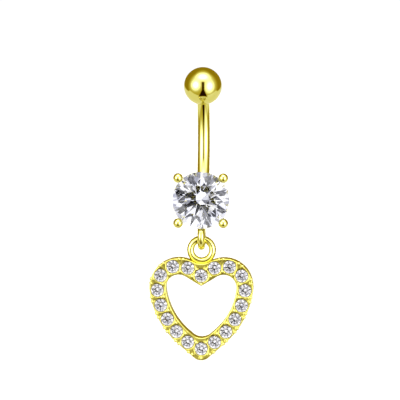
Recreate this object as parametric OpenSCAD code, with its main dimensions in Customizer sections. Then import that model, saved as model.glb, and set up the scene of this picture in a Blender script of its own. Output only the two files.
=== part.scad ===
// Navel ring: a curved bar with a screw-on ball above, a round stone in a four-prong setting
// below, and an open heart set with small round stones that swings from a loop.
// The origin is on the middle line of the bar, where it passes through the piercing.
// The stone and the heart face -Y, and +Z is up. All lengths are in millimetres.

/* [Bar] */
// Diameter of the curved bar
bar_d = 1.6; // [1.4:0.1:1.8]
// Radius of the curve that the bar follows
bar_curve_r = 11; // [9:0.5:14]
// Angle of the curve from the piercing up to the shoulder under the ball
bar_upper_angle = 26.5; // [22:0.5:32]
// Angle of the curve from the piercing down to the back of the setting
bar_lower_angle = 37; // [34:1:40]

/* [Ball] */
// Diameter of the ball
ball_d = 5; // [4:0.1:6]
// Diameter of the flat under the ball that meets the bar's shoulder
ball_flat_d = 1.96; // [1.8:0.02:2.4]
// Diameter of the post that the ball screws onto
post_d = 1.2; // [1:0.05:1.3]
// Length of the post above the shoulder
post_len = 3; // [2.4:0.1:3.4]
// Gap between the post and the ball's hole, on the radius
post_gap = 0.05; // [0.02:0.01:0.1]
// Gap between the bar's shoulder and the ball's flat
shoulder_gap = 0.03; // [0.02:0.01:0.1]

/* [Main stone] */
// Diameter of the stone at its girdle
stone_d = 7.5; // [6:0.1:9]
// Diameter of the stone's table, corner to corner
stone_table_d = 4.4; // [3.6:0.1:5]
// Height of the crown above the girdle
stone_crown_h = 1.15; // [0.8:0.05:1.4]
// Thickness of the girdle
stone_girdle_h = 0.16; // [0.1:0.02:0.3]
// Depth of the pavilion below the girdle
stone_pavilion_h = 3.2; // [2.6:0.1:3.6]

/* [Setting] */
// Diameter of the prongs' wire
prong_d = 0.9; // [0.7:0.05:1.1]
// Diameter of the round tip on each prong
prong_tip_d = 1.26; // [1:0.02:1.5]
// Overhang of the prongs' middle line past the girdle
prong_overhang = 0.46; // [0.4:0.02:0.6]
// Height of the tips' centres above the middle of the girdle
prong_tip_rise = 0.45; // [0.3:0.05:0.7]
// Diameter of the gallery wire
gallery_wire_d = 0.8; // [0.6:0.05:1]
// Diameter of the gallery ring, at its wire's middle
gallery_d = 5.9; // [5.6:0.1:6.2]
// Depth of the gallery ring below the middle of the girdle
gallery_drop = 1.7; // [1.5:0.1:2]
// Diameter of the base plate behind the stone
base_d = 5; // [4.6:0.1:5.6]
// Thickness of the base plate
base_h = 0.95; // [0.9:0.05:1.3]
// Height above the stone's axis at which the bar meets the base plate
bar_joint_rise = 1.18; // [0.8:0.02:1.4]
// How much thicker than the bar the solder bead is where the bar meets the base plate
bar_bead = 0.18; // [0.1:0.02:0.3]
// Distance of the prongs' feet from the base plate's edge
prong_foot_edge = 0.05; // [0.02:0.01:0.3]
// Gap that the stone keeps from its metal
stone_gap = 0.05; // [0.03:0.01:0.1]
// Gap between the stone's point and the base plate
culet_gap = 0.15; // [0.12:0.01:0.4]

/* [Loop and ring] */
// Diameter of the loop's wire
loop_wire_d = 0.92; // [0.7:0.02:1]
// Diameter of the loop below the setting, at its wire's middle
loop_d = 2.7; // [2.5:0.05:3.2]
// Depth of the solder joint between the loop and the gallery
loop_sink = 0.25; // [0.1:0.05:0.4]
// Diameter of the solder bead between the loop and the gallery
loop_bead_d = 1.1; // [1:0.05:1.3]
// Diameter of the wire of the heart's ring
ring_wire_d = 0.92; // [0.7:0.02:1]
// Diameter of the heart's ring, at its wire's middle
ring_d = 2.9; // [2.7:0.05:3.4]
// Gap between the loop and the ring that hangs in it
hang_gap = 0.08; // [0.05:0.01:0.15]
// Depth to which the ring runs into the dip of the heart
ring_sink = 0.16; // [0.1:0.02:0.3]

/* [Heart] */
// Distance from the line of small stones to the band's outer edge
band_outer = 1.02; // [1:0.01:1.2]
// Distance from the line of small stones to the band's inner edge
band_inner = 1.16; // [1:0.01:1.3]
// Thickness of the heart from front to back
heart_t = 2.2; // [1.8:0.1:2.6]
// Radius of each lobe, on the line of small stones
lobe_r = 2.85; // [2.75:0.05:3]
// Distance from the middle of the heart to each lobe's centre
lobe_x = 2.97; // [2.9:0.01:3.1]
// Slope of the line of small stones where it runs down into the dip
dip_angle = 31; // [29:1:33]
// Angle of the lobe, from its top, at which the side begins
lobe_angle = 97; // [96:1:100]
// Radius of each side's curve, on the line of small stones
side_r = 10; // [9.6:0.1:10.6]
// Slope of the sides where they run straight into the point
point_slope = 41; // [39:1:43]
// Radius of the point, on the line of small stones
point_r = 2; // [1.8:0.05:2.2]
// Radius of the point on the outer edge
point_outer_r = 1.45; // [1.2:0.05:1.8]
// Radius of the point on the inner edge
point_inner_r = 1.8; // [1.4:0.05:2]
// Radius of the dip on the outer edge, under the ring
dip_outer_r = 2.5; // [2.3:0.05:2.7]
// Radius of the corner on the inner edge, under the dip
dip_inner_r = 0.3; // [0.2:0.05:0.4]

/* [Small stones] */
// Number of small stones around the heart
pave_count = 18; // [14:2:18]
// Diameter of a small stone
pave_d = 1.66; // [1.4:0.02:1.7]
// Diameter of a small stone's table, corner to corner
pave_table_d = 0.95; // [0.8:0.05:1.05]
// Height of a small stone's crown
pave_crown_h = 0.26; // [0.2:0.02:0.32]
// Thickness of a small stone's girdle
pave_girdle_h = 0.05; // [0.04:0.01:0.08]
// Depth of a small stone's pavilion
pave_pavilion_h = 0.7; // [0.6:0.02:0.76]
// Gap between a small stone and its seat
pave_gap = 0.03; // [0.02:0.01:0.04]
// Diameter of the hole behind each small stone, where it opens from the seat
pave_hole_d = 0.6; // [0.4:0.05:0.8]
// Diameter of the same hole at the heart's back
pave_hole_back_d = 1.1; // [0.8:0.05:1.2]
// Depth of the channel that the small stones lie in
channel_depth = 0.12; // [0.08:0.02:0.2]
// Width of the channel
channel_w = 1.5; // [1.3:0.05:1.55]

/* [Grains] */
// Diameter of the grains along the outer edge
grain_outer_d = 0.4; // [0.3:0.02:0.42]
// Diameter of the grains along the inner edge
grain_inner_d = 0.44; // [0.3:0.02:0.46]
// Distance of the outer grains from the line of small stones
grain_outer_x = 0.88; // [0.84:0.01:0.92]
// Distance of the inner grains from the line of small stones
grain_inner_x = 0.68; // [0.64:0.01:0.8]
// Distance between the two outer grains of a pair
grain_pair = 0.54; // [0.44:0.02:0.56]
// Distance of the grains beside the dip from the line of small stones
grain_dip_x = 0.45; // [0.4:0.01:0.5]
// Distance of the grain under the dip from the line of small stones
grain_corner_x = 1.08; // [1:0.01:1.12]
// Distance of the grain on the point from the line of small stones
grain_point_x = 1.2; // [1.1:0.01:1.3]
// Depth of the grains' centres below the heart's face
grain_drop = 0.05; // [0:0.01:0.08]

/* [Hidden] */

gold = "#c9b22e";
clear = [0.86, 0.9, 0.95, 0.6];
arc_step = 5;
round_fn = 64;
cut_past = 1;
facets = 16;
star_share = 0.5;
lower_facet_share = 0.77;
prong_start = 45;
// How far the prongs' feet reach into the base plate, as a share of its thickness
foot_share = 0.6;
ball_seat = sqrt(pow(ball_d / 2, 2) - pow(ball_flat_d / 2, 2));

// The bar's two ends, and the setting that is built on the lower one
bar_top_y = bar_curve_r * (cos(bar_upper_angle) - 1);
bar_top_z = bar_curve_r * sin(bar_upper_angle);
bar_end_y = bar_curve_r * (cos(bar_lower_angle) - 1);
bar_end_z = -bar_curve_r * sin(bar_lower_angle);
setting_z = bar_end_z - bar_joint_rise;
base_front = stone_girdle_h / 2 + stone_pavilion_h + culet_gap;
base_back = base_front + base_h;
girdle_y = bar_end_y - base_back;
prong_r = stone_d / 2 + prong_overhang;
prong_foot_r = (base_d - prong_d) / 2 - prong_foot_edge;
prong_foot_drop = base_front + base_h * foot_share;

// The loop, the ring that hangs in it and the axis that the heart swings about
gallery_bottom_z = setting_z - (gallery_d + gallery_wire_d) / 2;
loop_z = gallery_bottom_z + loop_sink - (loop_d + loop_wire_d) / 2;
pendant_y = girdle_y + gallery_drop;
swing_z = loop_z - loop_d / 2;
ring_z = swing_z + (loop_wire_d + ring_wire_d) / 2 + hang_gap - ring_d / 2;

// The heart's circles: lobes at height 0, sides and points that run on from them
side_x = lobe_x - (side_r - lobe_r) * sin(lobe_angle);
side_z = -(side_r - lobe_r) * cos(lobe_angle);
side_end = 180 - point_slope;
dip_fillet_z = sqrt(pow(lobe_r + band_outer + dip_outer_r, 2) - lobe_x * lobe_x);
dip_fillet_angle = atan2(lobe_x, dip_fillet_z);
dip_start = lobe_x / cos(dip_angle) - lobe_r * tan(dip_angle);
dip_z = lobe_r * cos(dip_angle) - dip_start * sin(dip_angle);
heart_z = ring_z - (ring_d + ring_wire_d) / 2 + ring_sink - (dip_fillet_z - dip_outer_r);
face_y = -heart_t / 2;
channel_floor_y = face_y + channel_depth;

// The line of small stones, from the dip to the point: where each of its stretches ends
lobe_from = dip_start;
side_from = lobe_from + arc_len(lobe_r, lobe_angle + dip_angle);
slope_from = side_from + arc_len(side_r, side_end - lobe_angle);
point_from = slope_from + (side_point(0)[0] - point_r * sin(point_slope)) / cos(point_slope);
half_len = point_from + arc_len(point_r, point_slope);
pave_pitch = 2 * half_len / pave_count;

function two_digits(n) = n < 10 ? str("0", n) : str(n);
function stone_name(i) = str("heart_stone_", two_digits(i + 1));
function arc_len(r, angle) = r * angle * PI / 180;
function arc_turn(r, len) = len / r * 180 / PI;

// A direction as an angle turned clockwise from straight up, seen from the front
function toward(angle) = [sin(angle), cos(angle)];
function arc(centre, r, from, to) =
    let (steps = ceil(abs(to - from) / arc_step))
    [for (i = [0 : steps]) centre + r * toward(from + (to - from) * i / steps)];
function mirrored(half) = [for (i = [len(half) - 2 : -1 : 1]) [-half[i][0], half[i][1]]];

// The end of the side's curve a distance out of the line of stones, and the height of the
// centre of the point's circle, which both sides run into at the same slope
function side_point(out) = [side_x, side_z] + (side_r + out) * toward(side_end);
function point_z(out, r) =
    side_point(out)[1] - side_point(out)[0] * tan(point_slope) + r / cos(point_slope);

// The right half of an outline a distance out of the line of stones, from the dip to the point
function half_below_lobe(out, r) = concat(
    arc([side_x, side_z], side_r + out, lobe_angle, side_end),
    arc([0, point_z(out, r)], r, side_end, 180));
function outer_half() = let (out = band_outer) concat(
    arc([0, dip_fillet_z], dip_outer_r, 180, 180 - dip_fillet_angle),
    arc([lobe_x, 0], lobe_r + out, -dip_fillet_angle, lobe_angle),
    half_below_lobe(out, point_outer_r));
function straight_half(out, r) = concat(
    [[0, dip_z + out / cos(dip_angle)]],
    arc([lobe_x, 0], lobe_r + out, -dip_angle, lobe_angle),
    half_below_lobe(out, r));
function rounded_dip(out, r) = let (corner = dip_z + out / cos(dip_angle))
    arc([0, corner + r / cos(dip_angle)], r, 180, 180 - dip_angle);
function inner_half() = let (out = -band_inner) concat(
    rounded_dip(out, dip_inner_r),
    arc([lobe_x, 0], lobe_r + out, -dip_angle, lobe_angle),
    half_below_lobe(out, point_inner_r));
function closed(half) = concat(half, mirrored(half));

// A place on the line of stones, a length from the dip: its x, its height and the direction
// that points outward there
function place(s) = s < 0 ? let (p = place(-s)) [-p[0], p[1], -p[2]]
    : s <= lobe_from ? [s * cos(dip_angle), dip_z + s * sin(dip_angle), -dip_angle]
    : s <= side_from ? on_arc([lobe_x, 0], lobe_r, -dip_angle, s - lobe_from)
    : s <= slope_from ? on_arc([side_x, side_z], side_r, lobe_angle, s - side_from)
    : s <= point_from
        ? concat(side_point(0) + (s - slope_from) * toward(side_end + 90), [side_end])
        : on_arc([0, point_z(0, point_r)], point_r, side_end, s - point_from);
function on_arc(centre, r, from, len) = let (turn = from + arc_turn(r, len))
    concat(centre + r * toward(turn), [turn]);

// Length along the line to stone i: down the right side from the dip, then the left side
function stone_at(i) = i <= pave_count / 2 ? i * pave_pitch : (i - pave_count) * pave_pitch;

// Rings of corners of a round brilliant with its girdle's middle at height 0
function ring_of(count, r, height, first = 0) =
    [for (i = [0 : count - 1]) let (a = first + i * 360 / count) [r * cos(a), r * sin(a), height]];

module brilliant(d, table_d, crown_h, girdle_h, pavilion_h) {
    r = d / 2;
    table_r = table_d / 2;
    half = facets / 2;
    step = 360 / facets;
    table_mid = table_r * cos(step);
    star_r = (table_mid + star_share * (r - table_mid)) / cos(step / 2);
    star_z = girdle_h / 2 + crown_h * (r - star_r * cos(step)) / (r - table_r);
    lower_r = r * (1 - lower_facet_share);
    lower_z = -girdle_h / 2 - pavilion_h * (1 - lower_r * cos(step) / r);
    points = concat(
        ring_of(half, table_r, girdle_h / 2 + crown_h),
        ring_of(half, star_r, star_z, step),
        ring_of(facets, r, girdle_h / 2),
        ring_of(facets, r, -girdle_h / 2),
        ring_of(half, lower_r, lower_z, step),
        [[0, 0, -girdle_h / 2 - pavilion_h]]);
    star = half;
    top = 2 * half;
    low = top + facets;
    lower = low + facets;
    culet = lower + half;
    faces = concat(
        [[for (i = [half - 1 : -1 : 0]) i]],
        [for (i = [0 : half - 1]) [i, (i + 1) % half, star + i]],
        [for (i = [0 : half - 1]) [i, star + i, top + 2 * i]],
        [for (i = [0 : half - 1]) [i, top + 2 * i, star + (i + half - 1) % half]],
        [for (i = [0 : half - 1]) [star + i, top + 2 * i + 1, top + 2 * i]],
        [for (i = [0 : half - 1]) [star + i, top + (2 * i + 2) % facets, top + 2 * i + 1]],
        [for (i = [0 : facets - 1])
            [top + i, top + (i + 1) % facets, low + (i + 1) % facets, low + i]],
        [for (i = [0 : half - 1]) [lower + i, low + 2 * i, low + 2 * i + 1]],
        [for (i = [0 : half - 1]) [lower + i, low + 2 * i + 1, low + (2 * i + 2) % facets]],
        [for (i = [0 : half - 1]) [culet, low + 2 * i, lower + i]],
        [for (i = [0 : half - 1]) [culet, lower + (i + half - 1) % half, low + 2 * i]]);
    polyhedron(points, faces, convexity = 2);
}

// The room that a stone takes, as a solid of revolution with a gap all round
module stone_room(d, crown_h, girdle_h, pavilion_h, table_d, gap) {
    r = d / 2 + gap;
    rotate_extrude($fn = round_fn)
        polygon([[0, -girdle_h / 2 - pavilion_h - 2 * gap],
                 [r, -girdle_h / 2 - gap / 2],
                 [r, girdle_h / 2 + gap / 2],
                 [table_d / 2 + gap, girdle_h / 2 + crown_h + gap],
                 [0, girdle_h / 2 + crown_h + gap]]);
}

// A round wire between two points of the plane of a prong: distance from the axis, height
module wire(from, to, d) {
    along = to - from;
    translate([from[0], 0, from[1]])
        rotate([0, atan2(along[0], along[1]), 0])
            cylinder(h = norm(along), d = d, $fn = round_fn);
}

module prong() {
    tip = [prong_r, prong_tip_rise];
    foot = [prong_foot_r, -prong_foot_drop];
    translate([tip[0], 0, tip[1]])
        sphere(d = prong_tip_d, $fn = round_fn);
    wire(foot, tip, prong_d);
}

// The setting with its axis upright and the middle of the girdle at height 0
module setting() {
    difference() {
        union() {
            for (i = [0 : 3])
                rotate([0, 0, prong_start + i * 90])
                    prong();
            translate([0, 0, -gallery_drop])
                rotate_extrude($fn = round_fn)
                    translate([gallery_d / 2, 0])
                        circle(d = gallery_wire_d, $fn = round_fn);
            translate([0, 0, -base_back])
                cylinder(h = base_h, d = base_d, $fn = round_fn);
        }
        stone_room(stone_d, stone_crown_h, stone_girdle_h, stone_pavilion_h, stone_table_d,
                   stone_gap);
    }
}

// Turns a piece whose axis is upright so that its top faces forward
module facing_forward() {
    rotate([90, 0, 0])
        children();
}

module bar() {
    translate([0, -bar_curve_r, 0])
        rotate([90, 0, 90])
            rotate([0, 0, -bar_lower_angle])
                rotate_extrude(angle = bar_lower_angle + bar_upper_angle, $fn = 2 * round_fn)
                    translate([bar_curve_r, 0])
                        circle(d = bar_d, $fn = round_fn);
    translate([0, bar_end_y, bar_end_z])
        sphere(d = bar_d + bar_bead, $fn = round_fn);
}

// Puts a piece on the bar's upper end, with its axis along the post
module at_bar_top() {
    translate([0, bar_top_y, bar_top_z])
        rotate([bar_upper_angle, 0, 0])
            children();
}

module barbell() {
    color(gold) {
        bar();
        at_bar_top()
            translate([0, 0, -post_d / 2])
                cylinder(h = post_len + post_d / 2, d = post_d, $fn = round_fn);
        translate([0, girdle_y, setting_z])
            facing_forward()
                setting();
        translate([0, pendant_y, loop_z])
            rotate([0, 90, 0])
                rotate_extrude($fn = round_fn)
                    translate([loop_d / 2, 0])
                        circle(d = loop_wire_d, $fn = round_fn);
        translate([0, pendant_y, gallery_bottom_z])
            sphere(d = loop_bead_d, $fn = round_fn);
    }
}

module ball_top() {
    color(gold)
        at_bar_top()
            translate([0, 0, shoulder_gap + ball_seat])
                difference() {
                    sphere(d = ball_d, $fn = 2 * round_fn);
                    translate([0, 0, -ball_seat - ball_d])
                        cylinder(h = ball_d, d = ball_d, $fn = round_fn);
                    translate([0, 0, -ball_seat - cut_past])
                        cylinder(h = post_len + shoulder_gap + cut_past,
                                 d = post_d + 2 * post_gap, $fn = round_fn);
                }
}

module main_stone() {
    color(clear)
        translate([0, girdle_y, setting_z])
            facing_forward()
                brilliant(stone_d, stone_table_d, stone_crown_h, stone_girdle_h,
                          stone_pavilion_h);
}

// An outline in the heart's plane, as a plate from one depth to another
module plate(points, from_y, to_y) {
    translate([0, to_y, 0])
        rotate([90, 0, 0])
            linear_extrude(height = to_y - from_y)
                polygon(points);
}

// Puts a piece at a place on the band, with its axis forward and its depth given
module on_band(s, depth, out = 0, along = 0) {
    p = place(s);
    at = [p[0], p[1]] + out * toward(p[2]) + along * toward(p[2] + 90);
    translate([at[0], depth, at[1]])
        rotate([90, p[2], 0])
            children();
}

// The seats, each with a hole that widens towards the heart's back
module seats() {
    for (i = [0 : pave_count - 1])
        on_band(stone_at(i), channel_floor_y + pave_girdle_h / 2) {
            stone_room_open(pave_d, pave_girdle_h, pave_pavilion_h, pave_gap);
            translate([0, 0, -heart_t])
                cylinder(h = heart_t - pave_pavilion_h / 2, d1 = pave_hole_back_d,
                         d2 = pave_hole_d, $fn = round_fn);
        }
}

// The room of a small stone, open to the front
module stone_room_open(d, girdle_h, pavilion_h, gap) {
    r = d / 2 + gap;
    rotate_extrude($fn = round_fn)
        polygon([[0, -girdle_h / 2 - pavilion_h - 2 * gap],
                 [r, -girdle_h / 2 - gap / 2],
                 [r, cut_past],
                 [0, cut_past]]);
}

module grain(d) {
    sphere(d = d, $fn = round_fn / 2);
}

module grains() {
    depth = face_y + grain_drop;
    for (side = [-1, 1], i = [0 : pave_count / 2 - 1]) {
        s = side * (i + 0.5) * pave_pitch;
        on_band(s, depth, out = -grain_inner_x)
            grain(grain_inner_d);
        if (i == 0)
            on_band(s, depth, out = grain_dip_x)
                grain(grain_outer_d);
        else
            for (half = [-1, 1])
                on_band(s, depth, out = grain_outer_x, along = half * grain_pair / 2)
                    grain(grain_outer_d);
    }
    translate([0, depth, dip_z - grain_corner_x])
        grain(grain_inner_d);
    translate([0, depth, point_z(0, point_r) - point_r - grain_point_x])
        grain(grain_outer_d);
}

module heart_frame() {
    color(gold)
        translate([0, pendant_y, 0]) {
            translate([0, 0, ring_z])
                rotate([90, 0, 0])
                    rotate_extrude($fn = round_fn)
                        translate([ring_d / 2, 0])
                            circle(d = ring_wire_d, $fn = round_fn);
            translate([0, 0, heart_z]) {
                difference() {
                    plate(closed(outer_half()), face_y, -face_y);
                    plate(closed(inner_half()), face_y - cut_past, -face_y + cut_past);
                    difference() {
                        plate(closed(straight_half(channel_w / 2, point_r)),
                              face_y - cut_past, channel_floor_y);
                        plate(closed(straight_half(-channel_w / 2, point_inner_r)),
                              face_y - 2 * cut_past, channel_floor_y + cut_past);
                    }
                    seats();
                }
                grains();
            }
        }
}

module heart_stone(i) {
    color(clear)
        translate([0, pendant_y, heart_z])
            on_band(stone_at(i), channel_floor_y + pave_girdle_h / 2)
                brilliant(pave_d, pave_table_d, pave_crown_h, pave_girdle_h, pave_pavilion_h);
}

barbell();
ball_top();
main_stone();
heart_frame();
for (i = [0 : pave_count - 1])
    heart_stone(i);
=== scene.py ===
# Looks of the navel ring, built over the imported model. Pieces are modelled in millimetres,
# in the model's own frame, and scaled to metres when they are finished.
import bpy
import math
import numpy as np
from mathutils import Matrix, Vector


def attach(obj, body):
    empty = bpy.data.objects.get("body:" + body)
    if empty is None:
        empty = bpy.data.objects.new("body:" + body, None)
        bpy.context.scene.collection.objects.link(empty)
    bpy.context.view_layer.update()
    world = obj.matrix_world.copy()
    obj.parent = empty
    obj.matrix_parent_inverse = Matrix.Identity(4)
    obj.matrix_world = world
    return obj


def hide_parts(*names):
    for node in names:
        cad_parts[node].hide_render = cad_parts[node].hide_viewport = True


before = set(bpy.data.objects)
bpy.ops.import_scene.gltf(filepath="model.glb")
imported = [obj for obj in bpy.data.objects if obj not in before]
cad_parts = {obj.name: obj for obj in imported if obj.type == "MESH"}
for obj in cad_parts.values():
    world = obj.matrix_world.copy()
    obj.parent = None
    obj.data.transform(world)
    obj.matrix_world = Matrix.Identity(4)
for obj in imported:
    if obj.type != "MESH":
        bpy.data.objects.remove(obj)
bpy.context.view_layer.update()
mm = 0.001
bpy.ops.object.select_all(action="DESELECT")


def plug(tree, socket, value):
    if isinstance(value, Value):
        tree.links.new(value.socket, socket)
    else:
        socket.default_value = value


class Value:
    # A socket of a node tree: an expression on values adds the Math nodes it needs
    def __init__(self, tree, socket):
        self.tree = tree
        self.socket = socket

    def maths(self, operation, *values):
        node = self.tree.nodes.new("ShaderNodeMath")
        node.operation = operation
        for i, value in enumerate(values):
            plug(self.tree, node.inputs[i], value)
        return Value(self.tree, node.outputs[0])

    def __add__(self, other): return self.maths("ADD", self, other)
    def __radd__(self, other): return self.maths("ADD", other, self)
    def __sub__(self, other): return self.maths("SUBTRACT", self, other)
    def __rsub__(self, other): return self.maths("SUBTRACT", other, self)
    def __mul__(self, other): return self.maths("MULTIPLY", self, other)
    def __rmul__(self, other): return self.maths("MULTIPLY", other, self)
    def __pow__(self, other): return self.maths("POWER", self, other)
    def __rpow__(self, other): return self.maths("POWER", other, self)
    def __abs__(self): return self.maths("ABSOLUTE", self)
    def atLeast(self, low): return self.maths("MAXIMUM", self, low)
    def atMost(self, high): return self.maths("MINIMUM", self, high)


class Board:
    # A node tree. add() takes a node's type, its settings, then its sockets by name or number
    def __init__(self, tree):
        self.tree = tree
        tree.nodes.clear()

    def add(self, kind, settings=(), sockets=(), out=0):
        node = self.tree.nodes.new(kind)
        for name, value in dict(settings).items():
            setattr(node, name, value)
        for name, value in dict(sockets).items():
            plug(self.tree, node.inputs[name], value)
        return Value(self.tree, node.outputs[out])

    def noise(self, where, scale, detail):
        return self.add("ShaderNodeTexNoise", {}, {
            "Vector": where, "Scale": scale, "Detail": detail})

    def mixColours(self, factor, first, second):
        return self.add("ShaderNodeMix", {"data_type": "RGBA"}, {0: factor, 6: first, 7: second}, 2)

    def finish(self, kind, shader):
        plug(self.tree, self.tree.nodes.new(kind).inputs[0], shader)


def newMaterial(name):
    material = bpy.data.materials.new(name)
    material.use_nodes = True
    return material, Board(material.node_tree)


# One plate in three finishes: from deep to pale in soft clouds, with painted shade, a darker gold,
# deep in the seats and the holes behind them; the satin finish is rougher and is also painted
# darker, as shade
polishedLook = {
    # the last colour is painted shade, a darker gold that stands in for the shade deep in the seats
    # and in the holes behind them
    "deep": (0.72, 0.66, 0.18, 1), "pale": (0.82, 0.77, 0.25, 1), "paintedSeatShade": (0.50, 0.39, 0.06, 1),
    "cloudScale": 420, "roughness": 0.07, "roughnessSpread": 0.05,
    "scratchScale": 9000, "scratchStretch": (1, 1, 0.06), "scratchTurn": (0.5, 0.3, 0),
    "scratchDepth": 0.05, "scratchRoughness": 0.06, "rippleScale": 1500, "ripple": 0.0,
}
castLook = {**polishedLook, "roughness": 0.13, "roughnessSpread": 0.06, "ripple": 0.15}
# the satin heart is truly rougher, and its gold is also painted darker than the same plate
# elsewhere: painted shade for the heart's face between its stones
satinShadedLook = {**polishedLook, "deep": (0.61, 0.55, 0.10, 1), "pale": (0.73, 0.67, 0.17, 1),
             "roughness": 0.28, "roughnessSpread": 0.10, "ripple": 0.25}


def goldMaterial(name, its):
    material, board = newMaterial(name)
    where = board.add("ShaderNodeTexCoord", out=3)
    cloud = board.noise(where, its["cloudScale"], 4.0)
    streaked = board.add("ShaderNodeMapping", {}, {
        "Vector": where, "Scale": its["scratchStretch"], "Rotation": its["scratchTurn"]})
    scratch = board.noise(streaked, its["scratchScale"], 2.0)
    ripple = board.noise(where, its["rippleScale"], 1.0)
    # painted shade: where the heart is marked deep in its seats and holes, the tint turns to the
    # darker gold
    paintedSeatShade = board.add("ShaderNodeAttribute", {"attribute_name": "paintedSeatShade"}, out=2)
    tint = board.mixColours(cloud, its["deep"], its["pale"])
    tint = board.mixColours(paintedSeatShade, tint, its["paintedSeatShade"])
    roughness = its["roughness"] + (cloud - 0.5) * its["roughnessSpread"] \
        + (scratch - 0.5) * its["scratchRoughness"]
    wavy = board.add("ShaderNodeBump", {}, {
        "Strength": its["ripple"], "Distance": 2e-5, "Height": ripple})
    fine = board.add("ShaderNodeBump", {}, {
        "Strength": its["scratchDepth"], "Distance": 2e-6, "Height": scratch, "Normal": wavy})
    shader = board.add("ShaderNodeBsdfPrincipled", {}, {
        "Base Color": tint, "Metallic": 1.0, "Roughness": roughness, "Normal": fine})
    board.finish("ShaderNodeOutputMaterial", shader)
    return material


largeStoneLook = {"clear": (0.90, 0.90, 0.905, 1), "cool": (0.83, 0.83, 0.89, 1), "index": 2.16,
                  "cloudScale": 260}
smallStoneLook = {**largeStoneLook, "clear": (1, 1, 0.98, 1), "cool": (0.99, 0.96, 0.97, 1)}


def stoneMaterial(name, its):
    material, board = newMaterial(name)
    where = board.add("ShaderNodeTexCoord", out=3)
    tint = board.mixColours(board.noise(where, its["cloudScale"], 2.0), its["clear"], its["cool"])
    shader = board.add("ShaderNodeBsdfPrincipled", {}, {
        "Base Color": tint, "Metallic": 0.0, "Roughness": 0.0, "IOR": its["index"],
        "Transmission Weight": 1.0})
    board.finish("ShaderNodeOutputMaterial", shader)
    return material


polished = goldMaterial("polishedGold", polishedLook)
cast = goldMaterial("castGold", castLook)
satinShaded = goldMaterial("satinShadedGold", satinShadedLook)
largeClear = stoneMaterial("largeClearStone", largeStoneLook)
smallClear = stoneMaterial("smallClearStone", smallStoneLook)
print("materials made")


def alone(piece):
    bpy.ops.object.select_all(action="DESELECT")
    bpy.context.view_layer.objects.active = piece
    piece.select_set(True)


def openUp(piece, name):
    # Names a piece and opens it in edit mode with all of it selected
    alone(piece)
    piece.name = name
    bpy.ops.object.mode_set(mode="EDIT")
    bpy.ops.mesh.select_all(action="SELECT")


def startPoint(name, at):
    # A plane merged to one point, from which a profile is drawn
    bpy.ops.mesh.primitive_plane_add(size=1, location=(0, 0, 0))
    piece = bpy.context.object
    openUp(piece, name)
    bpy.ops.mesh.merge(type="CENTER")
    bpy.ops.transform.translate(value=at)
    return piece


def draw(points):
    for a, b in zip(points, points[1:]):
        step = [b[i] - a[i] for i in range(3)]
        bpy.ops.mesh.extrude_region_move(TRANSFORM_OT_translate={"value": step})


def closeMesh(angle=30):
    # Joins doubles, turns the normals outward and shades the piece
    bpy.ops.mesh.select_all(action="SELECT")
    bpy.ops.mesh.remove_doubles(threshold=0.0005)
    bpy.ops.mesh.normals_make_consistent(inside=False)
    bpy.ops.object.mode_set(mode="OBJECT")
    bpy.ops.object.shade_smooth_by_angle(angle=math.radians(angle))
    return bpy.context.object


def lathe(name, profile, steps=96, angle=30):
    # A profile of (radius, height) points turned about the upright axis
    points = [(r, 0, z) for r, z in profile]
    piece = startPoint(name, points[0])
    draw(points)
    bpy.ops.mesh.select_all(action="SELECT")
    bpy.ops.mesh.spin(steps=steps, angle=math.tau, center=(0, 0, 0), axis=(0, 0, 1))
    return closeMesh(angle)


def arc(centre, r, start, end, count):
    # Points of an arc in a profile, angles from the radius axis in degrees
    return [(centre[0] + r * math.cos(math.radians(start + (end - start) * i / count)),
             centre[1] + r * math.sin(math.radians(start + (end - start) * i / count)))
            for i in range(count + 1)]


def turned(piece, rotation=(0, 0, 0), place=(0, 0, 0)):
    # Turns, then moves a piece, and applies both to its mesh
    alone(piece)
    piece.rotation_euler = [math.radians(a) for a in rotation]
    piece.location = place
    bpy.ops.object.transform_apply(location=True, rotation=True, scale=True)
    return piece


def bead(name, radius, squash, rings):
    # A small ball of metal or solder, scaled along its own three ways
    bpy.ops.mesh.primitive_uv_sphere_add(segments=2 * rings, ring_count=rings, radius=radius)
    openUp(bpy.context.object, name)
    bpy.ops.transform.resize(value=squash)
    return closeMesh()


def copied(piece, name, **how):
    twin = piece.copy()
    twin.data = piece.data.copy()
    twin.name = name
    bpy.context.scene.collection.objects.link(twin)
    return turned(twin, **how)


def joined(pieces, name):
    alone(pieces[0])
    for piece in pieces:
        piece.select_set(True)
    bpy.ops.object.join()
    pieces[0].name = name
    return pieces[0]


def cut(piece, cutter):
    # Takes the cutter's room out of a piece and removes the cutter
    alone(piece)
    step = piece.modifiers.new("cut", "BOOLEAN")
    step.operation = "DIFFERENCE"
    step.object = cutter
    step.solver = "EXACT"
    bpy.ops.object.modifier_apply(modifier="cut")
    bpy.data.objects.remove(cutter)
    # its many-sided faces have corners on a straight line, and would export with empty slivers
    openUp(piece, piece.name)
    bpy.ops.mesh.quads_convert_to_tris(quad_method="BEAUTY", ngon_method="BEAUTY")
    bpy.ops.mesh.dissolve_degenerate(threshold=0.0005)
    bpy.ops.object.mode_set(mode="OBJECT")


def settle(piece, material, body, slot, *replaced):
    # Scales a finished piece to metres and hands it to its body
    alone(piece)
    piece.scale = (mm, mm, mm)
    bpy.ops.object.transform_apply(location=False, rotation=False, scale=True)
    piece.data.materials.clear()
    piece.data.materials.append(material)
    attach(piece, body)
    if replaced:
        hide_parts(*replaced)
    print("made", piece.name, len(piece.data.polygons), "faces")


barShape = {
    "thickness": 1.6, "curveRadius": 11.0, "upperAngle": 26.5, "lowerAngle": 37.0,
    "shoulderEdge": 0.08, "round": 64, "steps": 72, "beadRadius": 0.88,
    "beadSquash": (0.97, 0.94, 1.0),
}


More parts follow.
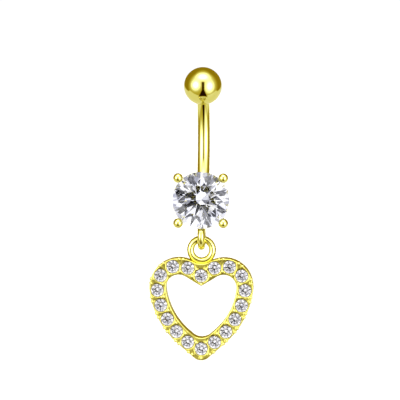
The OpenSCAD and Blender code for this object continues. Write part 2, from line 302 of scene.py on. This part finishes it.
def barEnd(its, angle):
    # A point of the bar's middle line, by its angle on the curve up from the piercing
    a = math.radians(angle)
    return (0, its["curveRadius"] * (math.cos(a) - 1), its["curveRadius"] * math.sin(a))


def curvedBar(its):
    r = its["thickness"] / 2
    bpy.ops.mesh.primitive_circle_add(vertices=its["round"], radius=r, fill_type="NGON")
    piece = turned(bpy.context.object, (-its["lowerAngle"], 0, 0), barEnd(its, -its["lowerAngle"]))
    openUp(piece, "curvedBar")
    bpy.ops.mesh.spin(steps=its["steps"], angle=math.radians(its["lowerAngle"] + its["upperAngle"]),
                      center=(0, -its["curveRadius"], 0), axis=(-1, 0, 0))
    # the shoulder under the ball: a small chamfer, then the flat that carries the post
    top, high = Vector(barEnd(its, its["upperAngle"])), math.radians(its["upperAngle"])
    back = Vector((0, math.sin(high), -math.cos(high))) * its["shoulderEdge"]
    shrink = 1 - its["shoulderEdge"] / r
    bpy.ops.transform.translate(value=back)
    bpy.ops.mesh.extrude_region_move(TRANSFORM_OT_translate={"value": -back})
    bpy.ops.transform.resize(value=(shrink, shrink, shrink), center_override=top)
    return closeMesh()


def barBead(its):
    # The solder bead where the bar meets the base plate, a little drawn out along the bar
    made = bead("barBead", its["beadRadius"], its["beadSquash"], rings=24)
    return turned(made, (-its["lowerAngle"], 0, 0), barEnd(its, -its["lowerAngle"]))


postShape = {
    "core": 0.47, "crest": 0.595, "length": 3.0, "sunk": 0.5, "stemSteps": 48,
    "tipEdge": ((0, 0.2), (0.14, 0.03), (0.2, 0)),    # inward from the core, down from the end
    "pitch": 0.25, "turns": 10, "turnSteps": 40, "threadFrom": 0.24, "threadRoot": 0.04,
    "flanks": (0.42, 0.55, 0.97), "fadeIn": 0.12, "fadeOut": 0.25,
}


def threadedPost(its, bar):
    core, crest, pitch, length = its["core"], its["crest"], its["pitch"], its["length"]
    root, start = core - its["threadRoot"], its["threadFrom"]
    rise, fall, end = [start + pitch * share for share in its["flanks"]]
    piece = startPoint("thread", (root, 0, start))
    draw([(root, 0, start), (core, 0, start), (crest, 0, rise), (crest, 0, fall), (core, 0, end),
          (root, 0, end)])
    bpy.ops.mesh.select_all(action="SELECT")
    bpy.ops.mesh.edge_face_add()
    bpy.ops.mesh.delete(type="ONLY_FACE")
    bpy.ops.object.mode_set(mode="OBJECT")
    turn = piece.modifiers.new("turn", "SCREW")
    turn.screw_offset, turn.iterations = pitch, its["turns"]
    turn.steps = turn.render_steps = its["turnSteps"]
    bpy.ops.object.modifier_apply(modifier="turn")
    for v in piece.data.vertices:    # both ends of the thread run out into the core
        fadeIn = (v.co.z - start) / its["fadeIn"]
        fadeOut = (length - its["fadeIn"] - v.co.z) / its["fadeOut"]
        r = math.hypot(v.co.x, v.co.y)
        keep = (root + (r - root) * min(1, max(0, fadeIn), max(0, fadeOut))) / r
        v.co.x, v.co.y = v.co.x * keep, v.co.y * keep
    openUp(piece, "thread")
    bpy.ops.mesh.select_all(action="DESELECT")
    bpy.ops.mesh.select_non_manifold()
    bpy.ops.mesh.edge_face_add()
    closeMesh()
    profile = [(0, -its["sunk"]), (core, -its["sunk"])]
    profile += [(core - inward, length - down) for inward, down in its["tipEdge"]]
    stem = lathe("stem", profile + [(0, length)], its["stemSteps"])
    return turned(joined([stem, piece], "threadedPost"), (bar["upperAngle"], 0, 0),
                  barEnd(bar, bar["upperAngle"]))


settle(curvedBar(barShape), polished, "bar", "gold", "barbell")
settle(threadedPost(postShape, barShape), polished, "bar", "gold")
settle(barBead(barShape), cast, "bar", "gold")

ballShape = {
    "radius": 2.5, "flat": 0.98, "gap": 0.03, "arcSteps": 72, "steps": 128,
    "flatEdge": (0.02, 1.2),    # in from the flat's rim in mm, up the ball in degrees
    "hole": 0.65, "lead": 0.12, "depth": 3.03, "cone": 0.1,
    "groove": 0.70, "grooveFrom": 0.2, "turns": 10,
}


def ball(its, bar, pitch):
    r, flat, hole, lead = its["radius"], its["flat"], its["hole"], its["lead"]
    inward, degrees = its["flatEdge"]
    seat = -math.sqrt(r * r - flat * flat)
    edge = math.degrees(math.asin(seat / r))
    profile = arc((0, 0), r, 90, edge + degrees, its["arcSteps"])
    profile += [(flat - inward, seat), (hole + lead, seat), (hole, seat + lead)]
    for i in range(its["turns"]):    # the thread inside the ball
        groove = seat + its["grooveFrom"] + pitch * i
        profile += [(its["groove"], groove), (hole, groove + pitch / 2)]
    profile += [(hole, seat + its["depth"] - its["cone"]), (0, seat + its["depth"])]
    high = math.radians(bar["upperAngle"])
    way = Vector((0, -math.sin(high), math.cos(high)))
    return turned(lathe("ballOnPost", profile, its["steps"]), (bar["upperAngle"], 0, 0),
                  Vector(barEnd(bar, bar["upperAngle"])) + way * (its["gap"] - seat))


settle(ball(ballShape, barShape, postShape["pitch"]), polished, "ball", "gold", "ball_top")

# The setting is modelled as it lies on a table, with the stone's girdle at height 0
settingShape = {
    "axisZ": -7.8, "girdleY": -6.595, "stoneRadius": 3.75, "stoneGap": 0.05,
    "stoneRoom": {"point": -3.38, "girdle": 0.105, "table": (2.25, 1.28)},
    "plateRadius": 2.5, "plateFront": -3.43, "plateBack": -4.38, "plateEdge": 0.14,
    "recess": ((0.55, 0), (0.5, 0.12), (0, 0.16)),    # share of the plate's radius, depth
    "foot": (2.0, -4.0), "tip": (4.21, 0.45), "wire": 0.45, "tipRadius": 0.63, "tipFrom": -28,
    # the neck swells out from the wire, in steps down from the tip's middle
    "neck": ((0.8, 0), (0.66, 0.004), (0.56, 0.014), (0.47, 0.034), (0.38, 0.066)),
    "galleryRadius": 2.95, "galleryDrop": -1.7, "galleryWire": 0.4,
    "solder": 0.5, "solderOut": 0.1, "solderSquash": (1.0, 1.06, 0.9),
}
forward = (90, 0, 0)    # turns what is modelled facing up to the front


def inSetting(piece, its):
    return turned(piece, forward, (0, its["girdleY"], its["axisZ"]))


def basePlate(its):
    r, edge = its["plateRadius"], its["plateEdge"]
    front, back = its["plateFront"], its["plateBack"]
    profile = [(0, back)] + arc((r - edge, back + edge), edge, -90, 0, 6)
    profile += arc((r - edge, front - edge), edge, 0, 90, 6)
    profile += [(r * share, front - depth) for share, depth in its["recess"]]
    return inSetting(lathe("basePlate", profile, angle=40), its)


def stoneRoom(its):
    # The room of the stone, which is cut out of the prongs as their seats
    r, room = its["stoneRadius"] + its["stoneGap"], its["stoneRoom"]
    return lathe("stoneRoom", [(0, room["point"]), (r, -room["girdle"]), (r, room["girdle"]),
                               room["table"], (0, room["table"][1])])


def prongs(its):
    foot, tip, wire = its["foot"], its["tip"], its["wire"]
    length = math.dist(foot, tip)
    lean = math.degrees(math.atan2(tip[0] - foot[0], tip[1] - foot[1]))
    profile = [(0, 0), (wire, 0)]
    profile += [(wire + swell, length - down) for down, swell in its["neck"]]
    profile += arc((0, length), its["tipRadius"], its["tipFrom"], 90, 24)
    prong = turned(lathe("prong", profile, steps=48), (0, lean, 0), (foot[0], 0, foot[1]))
    cut(prong, stoneRoom(its))
    solder = turned(bead("solder", its["solder"], its["solderSquash"], rings=12), (0, lean, 0),
                    (its["galleryRadius"] + its["solderOut"], 0, its["galleryDrop"]))
    prong = joined([prong, solder], "prong")
    made = []
    for i, corner in enumerate(("UpperRight", "UpperLeft", "LowerLeft", "LowerRight")):
        copy = copied(prong, "prong" + corner, rotation=(0, 0, 45 + 90 * i))
        made.append(inSetting(copy, its))
    bpy.data.objects.remove(prong)
    return made


def gallery(its):
    profile = arc((its["galleryRadius"], its["galleryDrop"]), its["galleryWire"], 0, 360, 28)
    return inSetting(lathe("galleryRing", profile, steps=120), its)


settle(basePlate(settingShape), cast, "bar", "gold")
settle(gallery(settingShape), cast, "bar", "gold")
for prong in prongs(settingShape):
    settle(prong, cast, "bar", "gold")

largeCut = {"radius": 3.75, "table": 2.2, "crown": 1.15, "girdle": 0.16, "pavilion": 3.28,
            "round": 96, "turn": 22.5, "starShare": 0.5, "lowerShare": 0.23}
smallCut = {**largeCut, "radius": 0.83, "table": 0.475, "crown": 0.26, "girdle": 0.05,
            "pavilion": 0.73, "round": 48}


def polar(r, degrees, z):
    return Vector((r * math.cos(math.radians(degrees)), r * math.sin(math.radians(degrees)), z))


def brilliant(name, its):
    # Cut as on a wheel: a round blank, then one flat cut for every facet
    r, table, half = its["radius"], its["table"], its["girdle"] / 2
    top, bottom = half + its["crown"], -half - its["pavilion"]
    cosHalf, cosQuarter = math.cos(math.tau / 16), math.cos(math.tau / 32)    # parts of 45 degrees
    starR = (table * cosHalf + its["starShare"] * (r - table * cosHalf)) / cosQuarter
    starZ = half + its["crown"] * (r - starR * cosHalf) / (r - table)
    lowR = r * its["lowerShare"]
    lowZ = -half - its["pavilion"] * (1 - lowR * cosHalf / r)
    bpy.ops.mesh.primitive_cylinder_add(vertices=its["round"], radius=r, depth=top - bottom,
                                        location=(0, 0, (top + bottom) / 2))
    piece = bpy.context.object
    bpy.ops.object.transform_apply(location=True)
    openUp(piece, name)

    def facet(a, b, c):
        normal = (b - a).cross(c - a).normalized()
        if normal.dot(a) < 0:
            normal = -normal
        bpy.ops.mesh.select_all(action="SELECT")
        bpy.ops.mesh.bisect(plane_co=a, plane_no=normal, use_fill=True, clear_outer=True,
                            threshold=1e-5)

    for i in range(8):    # kites and pavilion mains
        here = 45 * i + its["turn"]
        across = polar(1, here + 90, 0)
        facet(polar(table, here, top), polar(r, here, half), polar(table, here, top) + across)
        facet(polar(r, here, -half), Vector((0, 0, bottom)), polar(r, here, -half) + across)
    for i in range(8):    # stars, and the facets above and below the girdle
        here = 45 * i + its["turn"]
        star, low = polar(starR, here + 22.5, starZ), polar(lowR, here + 22.5, lowZ)
        facet(polar(table, here, top), polar(table, here + 45, top), star)
        for side in (0, 22.5):
            facet(star, polar(r, here + side, half), polar(r, here + side + 22.5, half))
            facet(low, polar(r, here + side, -half), polar(r, here + side + 22.5, -half))
    bpy.ops.mesh.select_all(action="SELECT")
    bpy.ops.mesh.remove_doubles(threshold=0.0005)
    bpy.ops.mesh.normals_make_consistent(inside=False)
    bpy.ops.object.mode_set(mode="OBJECT")
    bpy.ops.object.shade_flat()
    return piece


settle(inSetting(brilliant("largeStone", largeCut), settingShape), largeClear, "bar",
       "clear_stone", "main_stone")

# The loop under the setting and the heart's own ring, one through the other
linkShape = {
    "planeY": -4.895, "loopZ": -12.71, "loopRadius": 1.35, "loopWire": 0.46,
    "beadZ": -11.15, "bead": 0.54, "beadSquash": (0.94, 1.0, 0.98),
    "ringZ": -14.51, "ringRadius": 1.45, "ringWire": 0.46,
    "rootStart": 0.55, "rootGrowth": 0.16, "rootCurve": 1.5,
}


def wireRing(name, radius, wire):
    return lathe(name, arc((radius, 0), wire, 0, 360, 36), steps=112)


def loop(its):
    return turned(wireRing("loop", its["loopRadius"], its["loopWire"]), (0, 90, 0),
                  (0, its["planeY"], its["loopZ"]))


def loopBead(its):
    made = bead("loopBead", its["bead"], its["beadSquash"], rings=20)
    return turned(made, place=(0, its["planeY"], its["beadZ"]))


def heartRing(its):
    # The ring swells towards its root, where it is cast on to the heart
    ring = wireRing("heartRing", its["ringRadius"], its["ringWire"])
    for v in ring.data.vertices:
        root = max(0, -v.co.y / its["ringRadius"] - its["rootStart"])
        grow = 1 + its["rootGrowth"] * root ** its["rootCurve"]
        out = Vector((v.co.x, v.co.y, 0)).normalized() * its["ringRadius"]
        v.co = out + (v.co - out) * grow
    return turned(ring, forward, (0, its["planeY"], its["ringZ"]))


settle(loop(linkShape), cast, "bar", "gold")
settle(loopBead(linkShape), cast, "bar", "gold")

# The heart is drawn about the line of its stones: x to the right and z up from centreZ
heartShape = {
    "planeY": -4.895, "centreZ": -19.395, "thickness": 2.2, "outer": 1.02, "inner": 1.16,
    "lobeRadius": 2.85, "lobeX": 2.97, "dipAngle": 31, "lobeAngle": 97, "sideRadius": 10,
    "slope": 41, "pointRadius": 2.0, "pointOuter": 1.45, "pointInner": 1.8, "dipOuter": 2.5,
    "dipInner": 0.3, "stoneCount": 18, "stoneY": -0.955,
    "cells": {"dip": 22, "bend": 8, "lobe": 138, "side": 126, "straight": 20, "point": 18},
    "frontCells": 34, "wallCells": 6, "backCells": 12, "edge": 0.15, "cornerSteps": 4,
    "seatRadius": 0.86, "pillow": 0.08, "pillowReach": 0.055, "swell": 0.02, "deepest": -0.94,
    "seat": ((0, -2.4), (0.577, -2.4), (0.321, -0.507), (0.86, -0.04), (0.86, -0.005),
             (0.9, 0.05), (0.9, 0.6), (0, 0.6)),    # radius, height over the stone's girdle
    # where the painted shade reaches: near each stone from just before its girdle back to the
    # band's middle, and nearer still down the hole almost to the back
    "paintedShadeSeat": 0.875, "paintedShadeFrom": -0.97, "paintedShadeHole": 0.54, "paintedShadeTo": 1,
}
grainShape = {
    "outer": 0.21, "inner": 0.22, "outerX": 0.93, "innerX": 0.68, "pair": 0.58, "dipX": 0.45,
    "cornerX": 1.08, "pointX": 1.2, "sink": 0.02, "reach": 6.865, "squash": (1, 0.96, 1),
    "rootHeight": 0.05, "rootReach": 0.07,
}


def toward(degrees):
    # Directions by their angles, clockwise from straight up as seen from the front
    return np.stack([np.sin(np.radians(degrees)), np.cos(np.radians(degrees))], -1)


def sweep(centre, r, start, end, cells):
    # Points of an arc of an outline, its angles counted in the same way
    return np.array(centre) + r * toward(np.linspace(start, end, cells + 1))


def runAlong(points):
    # The length of a line up to each of its points
    return np.concatenate([[0], np.cumsum(np.linalg.norm(np.diff(points, axis=0), axis=1))])


def evenly(points, cells):
    # Points along a line, as many equal steps apart as there are cells
    points = np.array(points, float)
    run = runAlong(points)
    at = np.linspace(0, run[-1], cells + 1)
    return np.stack([np.interp(at, run, points[:, i]) for i in (0, 1)], -1)


def halfOutline(its, out, pointR, dip):
    # The right half of a heart that lies outside the line of stones by out, from its dip,
    # which is rounded as the outer or the inner edge or is on the line itself, to its point
    cells, lobeR, slope = its["cells"], its["lobeRadius"], math.radians(its["slope"])
    lean = math.radians(its["dipAngle"])
    side = np.array([its["lobeX"], 0]) - (its["sideRadius"] - lobeR) * toward(its["lobeAngle"])
    sideEnd = 180 - its["slope"]
    last = side + (its["sideRadius"] + out) * toward(sideEnd)
    pointZ = last[1] - last[0] * math.tan(slope) + pointR / math.cos(slope)
    corner = lobeR / math.cos(lean) - its["lobeX"] * math.tan(lean) + out / math.cos(lean)
    lobeStart = -its["dipAngle"]
    if dip == "outer":
        reach = lobeR + out + its["dipOuter"]
        lobeStart = -math.degrees(math.asin(its["lobeX"] / reach))
        height = math.sqrt(reach ** 2 - its["lobeX"] ** 2)
        first = sweep((0, height), its["dipOuter"], 180, 180 + lobeStart, cells["dip"])
    lobe = sweep((its["lobeX"], 0), lobeR + out, lobeStart, its["lobeAngle"], cells["lobe"])
    if dip == "inner":
        centre = (0, corner + its["dipInner"] / math.cos(lean))
        bend = sweep(centre, its["dipInner"], 180, 180 - its["dipAngle"], cells["bend"])
        first = evenly([*bend, lobe[0]], cells["dip"])
    elif dip == "line":
        first = evenly([(0, corner), lobe[0]], cells["dip"])
    sideArc = sweep(side, its["sideRadius"] + out, its["lobeAngle"], sideEnd, cells["side"])
    point = sweep((0, pointZ), pointR, sideEnd, 180, cells["point"])
    straight = evenly([sideArc[-1], point[0]], cells["straight"])
    return np.concatenate([first[:-1], lobe[:-1], sideArc[:-1], straight[:-1], point])


def closedOutline(half):
    # The right half, then its mirror image back up to the dip
    return np.concatenate([half, half[-2:0:-1] * [-1, 1]])


def stoneLine(its):
    # Gives a function that finds a place on the line of stones, by the length run from the
    # dip, with the ways outward and onward there, and gives the step from stone to stone
    line = closedOutline(halfOutline(its, 0, its["pointRadius"], "line"))
    line = np.concatenate([line, line[:1]])
    run = runAlong(line)

    def on(s):
        return np.array([np.interp(s % run[-1], run, line[:, i]) for i in (0, 1)])

    def place(s):
        at, ahead = on(s), on(s + 0.02)    # ahead is a little further on
        go = (ahead - at) / np.linalg.norm(ahead - at)
        return at, np.array([-go[1], go[0]]), go
    return place, run[-1] / its["stoneCount"]


def stonePlaces(its):
    place, pitch = stoneLine(its)
    return np.array([place(i * pitch)[0] for i in range(its["stoneCount"])])


def grainPlaces(its, grain):
    # The place and radius of every grain: between the stones, in the dip and at the point
    place, pitch = stoneLine(its)
    found = []
    for i in range(its["stoneCount"]):
        at, out, go = place((i + 0.5) * pitch)
        found.append((at - out * grain["innerX"], grain["inner"]))
        if i in (0, its["stoneCount"] - 1):
            found.append((at + out * grain["dipX"], grain["outer"]))
        else:
            for side in (-0.5, 0.5):
                found.append((at + out * grain["outerX"] + go * side * grain["pair"],
                              grain["outer"]))
    found.append((place(0)[0] - [0, grain["cornerX"]], grain["inner"]))
    found.append((place(pitch * its["stoneCount"] / 2)[0] - [0, grain["pointX"]], grain["outer"]))
    for at, r in found:
        at[0] = np.clip(at[0], r - grain["reach"], grain["reach"] - r)
    return found


def heartBand(its, grain):
    # A ring of cross-sections with rounded edges
    outer = closedOutline(halfOutline(its, its["outer"], its["pointOuter"], "outer"))
    inner = closedOutline(halfOutline(its, -its["inner"], its["pointInner"], "inner"))
    width = np.linalg.norm(outer - inner, axis=1)
    face, edge = -its["thickness"] / 2, its["edge"]
    turn = np.radians(np.linspace(0, 90, its["cornerSteps"] + 1))
    bend = np.stack([edge * (1 - np.cos(turn)), edge * (1 - np.sin(turn))], -1)
    # a row is a margin kept from both edges, a share of the way from inner to outer, a depth
    rows = [(d, 0, face + h) for d, h in bend]
    rows += [(edge, k / its["frontCells"], face) for k in range(1, its["frontCells"])]
    rows += [(d, 1, face + h) for d, h in bend[::-1]]
    front = len(rows)
    wall = np.linspace(face + edge, -face - edge, its["wallCells"] + 1)[1:-1]
    rows += [(0, 1, y) for y in wall]
    rows += [(d, 1, -face - h) for d, h in bend]
    rows += [(edge, 1 - k / its["backCells"], -face) for k in range(1, its["backCells"])]
    rows += [(d, 0, -face - h) for d, h in bend[::-1]]
    rows += [(0, 0, y) for y in wall[::-1]]
    bpy.ops.mesh.primitive_grid_add(x_subdivisions=len(outer), y_subdivisions=len(rows), size=10)
    piece = bpy.context.object
    ways = (outer - inner) / width[:, None]
    places = np.zeros((len(outer), len(rows), 3))
    for j, (margin, share, depth) in enumerate(rows):
        reach = margin + share * (width - 2 * margin)
        flat = inner + ways * reach[:, None]
        places[:, j, 0], places[:, j, 1], places[:, j, 2] = flat[:, 0], depth, flat[:, 1]
    # the front sinks towards each small stone and rises a little around each grain
    flat = places[:, :front, [0, 2]]
    fromStone = np.linalg.norm(flat[:, :, None] - stonePlaces(its), axis=-1).min(-1)
    past = np.maximum(fromStone - its["seatRadius"], 0)
    drop = its["pillow"] * np.exp(-past / its["pillowReach"])
    for at, r in grainPlaces(its, grain):
        near = np.linalg.norm(flat - at, axis=-1) - r
        drop -= grain["rootHeight"] * np.exp(-(near / grain["rootReach"]) ** 2)
    level = places[:, :front, 1]
    places[:, :front, 1] = np.minimum(level + np.maximum(drop, -its["swell"]),
                                      np.maximum(level, its["deepest"]))
    # the grid is rolled up both ways: its last rows fall on its first ones and are merged
    places = np.concatenate([places, places[:1]])
    places = np.concatenate([places, places[:, :1]], 1).transpose(1, 0, 2)
    piece.data.vertices.foreach_set("co", places.astype(np.float32).ravel())
    openUp(piece, "heartBand")
    return closeMesh(angle=38)


def seatCutters(its):
    # Every stone's seat, with the hole behind it that widens towards the back
    cutter = lathe("seat", its["seat"], steps=48)
    made = [copied(cutter, "seat", rotation=forward, place=(x, its["stoneY"], z))
            for x, z in stonePlaces(its)]
    bpy.data.objects.remove(cutter)
    return joined(made, "seats")


def grains(its, grain):
    # Two sizes of grain, each modelled once and copied to its places
    depth = grain["sink"] - its["thickness"] / 2
    made = []
    for r in (grain["outer"], grain["inner"]):
        bpy.ops.mesh.primitive_uv_sphere_add(segments=20, ring_count=12, radius=r)
        openUp(bpy.context.object, "grain")
        bpy.ops.transform.resize(value=grain["squash"])
        first = turned(closeMesh(), forward)
        made += [copied(first, "grain", place=(at[0], depth, at[1]))
                 for at, size in grainPlaces(its, grain) if size == r]
        bpy.data.objects.remove(first)
    return joined(made, "grains")


def markPaintedShade(band, its):
    # Marks the metal deep in the seats and in the holes behind them, where shade falls, for the
    # darker gold of the painted shade
    co = np.array([v.co for v in band.data.vertices])
    near = np.linalg.norm(co[:, None, [0, 2]] - stonePlaces(its), axis=-1).min(-1)
    seat = (near < its["paintedShadeSeat"]) & (co[:, 1] > its["paintedShadeFrom"]) & (co[:, 1] < 0)
    hole = (near < its["paintedShadeHole"]) & (co[:, 1] < its["paintedShadeTo"])
    mark = band.data.attributes.new("paintedSeatShade", "FLOAT", "POINT")
    mark.data.foreach_set("value", (seat | hole).astype(np.float32))


def heart(its, grain):
    band = heartBand(its, grain)
    cut(band, seatCutters(its))
    # paints shade into the seats and the holes behind them
    markPaintedShade(band, its)
    at = (0, its["planeY"], its["centreZ"])
    return turned(band, place=at), turned(grains(its, grain), place=at)


band, beads = heart(heartShape, grainShape)
settle(band, satinShaded, "pendant", "gold", "heart_frame")
settle(beads, cast, "pendant", "gold")
settle(heartRing(linkShape), cast, "pendant", "gold")


def smallStones(its):
    stone = brilliant("smallStone", smallCut)
    place, pitch = stoneLine(its)
    for i in range(its["stoneCount"]):
        at, out = place(i * pitch)[:2]
        turn = math.degrees(math.atan2(out[0], out[1]))
        copy = copied(stone, "smallStone%02d" % (i + 1), rotation=(90, turn, 0),
                      place=(at[0], its["planeY"] + its["stoneY"], its["centreZ"] + at[1]))
        settle(copy, smallClear, "pendant", "clear_stone", "heart_stone_%02d" % (i + 1))
    bpy.data.objects.remove(stone)


smallStones(heartShape)


def direction(azimuth, elevation):
    # The way to a place by its degrees round from the front to the right, then up
    a, e = math.radians(azimuth), math.radians(elevation)
    return Vector((math.sin(a) * math.cos(e), -math.cos(a) * math.cos(e), math.sin(e)))


floorLook = {"size": 8000, "drop": 250, "cloudScale": 3.0, "roughness": 0.7,
             "deep": (0.93, 0.93, 0.93, 1), "pale": (0.95, 0.95, 0.95, 1)}


def paleFloor(its):
    bpy.ops.mesh.primitive_plane_add(size=its["size"] * mm, location=(0, 0, -its["drop"] * mm))
    floor = bpy.context.object
    floor.name = "floor"
    floor.visible_glossy = floor.visible_transmission = False
    material, board = newMaterial("paleFloor")
    cloud = board.noise(board.add("ShaderNodeTexCoord", out=3), its["cloudScale"], 2.0)
    shader = board.add("ShaderNodeBsdfPrincipled", {}, {
        "Base Color": board.mixColours(cloud, its["deep"], its["pale"]),
        "Roughness": its["roughness"]})
    board.finish("ShaderNodeOutputMaterial", shader)
    floor.data.materials.append(material)


class Room:
    # What a world's light is drawn with: ways in the room, and soft steps between its parts
    def __init__(self, board):
        self.board = board
        self.where = board.add("ShaderNodeTexCoord", out=0)

    def along(self, way):
        return self.board.add("ShaderNodeVectorMath", {"operation": "DOT_PRODUCT"},
                              {0: self.where, 1: way}, 1)

    def step(self, value, low, high):
        return self.board.add("ShaderNodeMapRange", {"interpolation_type": "SMOOTHSTEP"}, {
            "Value": value, "From Min": low, "From Max": high})

    def shine(self, colour, strength):
        return self.board.add("ShaderNodeBackground", {}, {"Color": colour, "Strength": strength})


# In the rooms of light, places are parts of the radius, and azimuths count from the camera
goldRoomLook = {
    "fill": 0.58, "backFill": 0.34, "backEdge": (-0.35, 0.15), "topGlow": 0.22,
    "topEdge": (0.8, 1.0), "floorGlow": 0.93, "warmth": (1.35, 4.4),
    "horizon": {"level": -0.33, "before": -1.1, "behind": 0.5, "behindFrom": 0.3, "edge": 0.05},
    "slit": {"turn": 1, "halfWidth": 0.12, "flare": 3.8, "flareFrom": 0.35, "edge": 0.06,
             "front": (0.0, 0.25), "low": -0.89, "lowEdge": 0.04, "high": 0.46,
             "highEdge": 0.06, "depth": 0.97},
    "falloff": 1.35, "boxFront": (0.0, 0.3),
    "boxes": {
        "leftBox": {"azimuth": -46, "elevation": 8, "half": (0.38, 0.38), "light": 7},
        "rightBox": {"azimuth": 43, "elevation": 1, "half": (0.38, 0.46), "light": 7},
        "topBox": {"azimuth": -1, "elevation": 62, "half": (0.50, 0.36), "light": 7},
    },
}


def boxLight(room, its, look):
    light = 0
    for box in its["boxes"].values():
        way = direction(look["azimuth"] + box["azimuth"], box["elevation"])
        across = way.cross(Vector((0, 0, 1))).normalized()
        over = across.cross(way)
        reach = (room.along(across) * (1 / box["half"][0])) ** 2 \
            + (room.along(over) * (1 / box["half"][1])) ** 2
        shape = math.e ** (reach * -its["falloff"]) * room.step(room.along(way), *its["boxFront"])
        light = light + shape * box["light"]
    return light


def darkGap(room, slit, front, side, height):
    # The upright gap in front, through which the camera looks, wider towards its foot
    low, high = slit["low"], slit["high"]
    flare = 1 + (0 - height - slit["flareFrom"]).atLeast(0.0) * slit["flare"]
    aside = abs(side) - flare * slit["halfWidth"]
    return (1 - room.step(aside, -slit["edge"], slit["edge"])) \
        * room.step(front, *slit["front"]) \
        * room.step(height, low - slit["lowEdge"], low + slit["lowEdge"]) \
        * (1 - room.step(height, high - slit["highEdge"], high + slit["highEdge"]))


def goldRoom(room, its, look):
    # What the gold gathers: soft boxes, the gap, a brown back wall and a pale floor below
    ahead = direction(look["azimuth"] + its["slit"]["turn"], 0)
    beside = Vector((-ahead.y, ahead.x, 0))
    front, side, height = room.along(ahead), room.along(beside), room.along((0, 0, 1))
    back = 1 - room.step(front, *its["backEdge"])
    horizon = its["horizon"]
    edge = horizon["level"] + front.atLeast(0.0) * horizon["before"] \
        - (front + horizon["behindFrom"]).atMost(0.0) * horizon["behind"]
    low = room.step(edge - height, -horizon["edge"], horizon["edge"])
    wall = its["fill"] + back * (its["backFill"] - its["fill"]) \
        + room.step(height, *its["topEdge"]) * its["topGlow"]
    light = (wall + low * (its["floorGlow"] - wall) + boxLight(room, its, look)) \
        * (1 - darkGap(room, its["slit"], front, side, height) * its["slit"]["depth"])
    # what is dim in the room is also warm, from straw to brown, and what is bright is white
    base, more = light.atMost(1.0), (light - 1).atLeast(0.0)
    green, blue = its["warmth"]
    tint = room.board.add("ShaderNodeCombineColor", {}, {
        0: base + more, 1: base ** green + more, 2: base ** blue + more})
    return room.shine(tint, 1.0)


calmRoomLook = {
    "light": (0.09, 1.65), "cloudScale": 6.5, "cloudShift": (0.71, 0.37, 0.53),
    "cloudCut": (0.3, 0.58), "tintScale": 11.05, "tintCut": (0.4, 0.6),
    "lilac": (0.90, 0.91, 1.0, 1), "indigo": (0.66, 0.68, 0.88, 1), "back": 0.45,
    "backEdge": (-0.1, 0.3), "hole": 21, "holeTurn": -1, "holeRise": 2, "holeEdge": 0.02,
}


def calmRoom(room, its, look):
    # What the stones gather: a calmer room of white and lilac with dim indigo clouds, and a
    # dark hole around the camera, which gives a brilliant its dark arrows
    board = room.board
    shifted = board.add("ShaderNodeMapping", {}, {
        "Vector": room.where, "Location": its["cloudShift"]})
    clear = room.step(board.noise(shifted, its["cloudScale"], 1.0), *its["cloudCut"])
    cool = room.step(board.noise(room.where, its["tintScale"], 1.0), *its["tintCut"])
    tinted = board.mixColours(cool, (1, 1, 1, 1), its["lilac"])
    facing = room.along(direction(look["azimuth"] + its["holeTurn"],
                                  look["elevation"] + its["holeRise"]))
    rim = math.cos(math.radians(its["hole"]))
    dim, bright = its["light"]
    strength = (dim + (bright - dim) * clear) \
        * (its["back"] + (1 - its["back"]) * room.step(facing, *its["backEdge"])) \
        * (1 - room.step(facing, rim - its["holeEdge"], rim + its["holeEdge"]))
    return room.shine(board.mixColours(clear, its["indigo"], tinted), strength)


cameraLook = {"azimuth": 3.5, "elevation": 5.0, "distance": 600, "frame": 52.72, "sensor": 36,
              "aim": (-0.207, -5.0, -7.889), "backdrop": 1.06}


def lightWorld(look):
    # All light comes from the world: the camera sees white, stones and gold their own rooms
    world = bpy.data.worlds.new("softRoom")
    bpy.context.scene.world = world
    world.use_nodes = True
    board = Board(world.node_tree)
    room = Room(board)
    # rays from the camera, rays off or through a mirror-smooth face, rays through a stone
    seen, sharp, through = [board.add("ShaderNodeLightPath", out=i) for i in (0, 4, 6)]
    gathered = board.add("ShaderNodeMixShader", {}, {
        0: through.atLeast(sharp), 1: goldRoom(room, goldRoomLook, look),
        2: calmRoom(room, calmRoomLook, look)})
    board.finish("ShaderNodeOutputWorld", board.add("ShaderNodeMixShader", {}, {
        0: seen, 1: gathered, 2: room.shine((1, 1, 1, 1), look["backdrop"])}))


def placeCamera(look):
    way = direction(look["azimuth"], look["elevation"])
    bpy.ops.object.camera_add(location=Vector(look["aim"]) * mm + way * (look["distance"] * mm),
                              rotation=way.to_track_quat("Z", "Y").to_euler())
    camera = bpy.context.object
    camera.data.sensor_width = look["sensor"]
    camera.data.lens = look["sensor"] * look["distance"] / look["frame"]
    camera.data.clip_start = 0.01
    bpy.context.scene.camera = camera


paleFloor(floorLook)
lightWorld(cameraLook)
placeCamera(cameraLook)
bpy.context.scene.view_settings.view_transform = "Standard"
rays = bpy.context.scene.cycles    # light goes many times to and fro in a cut stone
rays.max_bounces, rays.glossy_bounces, rays.transmission_bounces = 24, 16, 16
print("stage, light and camera placed")
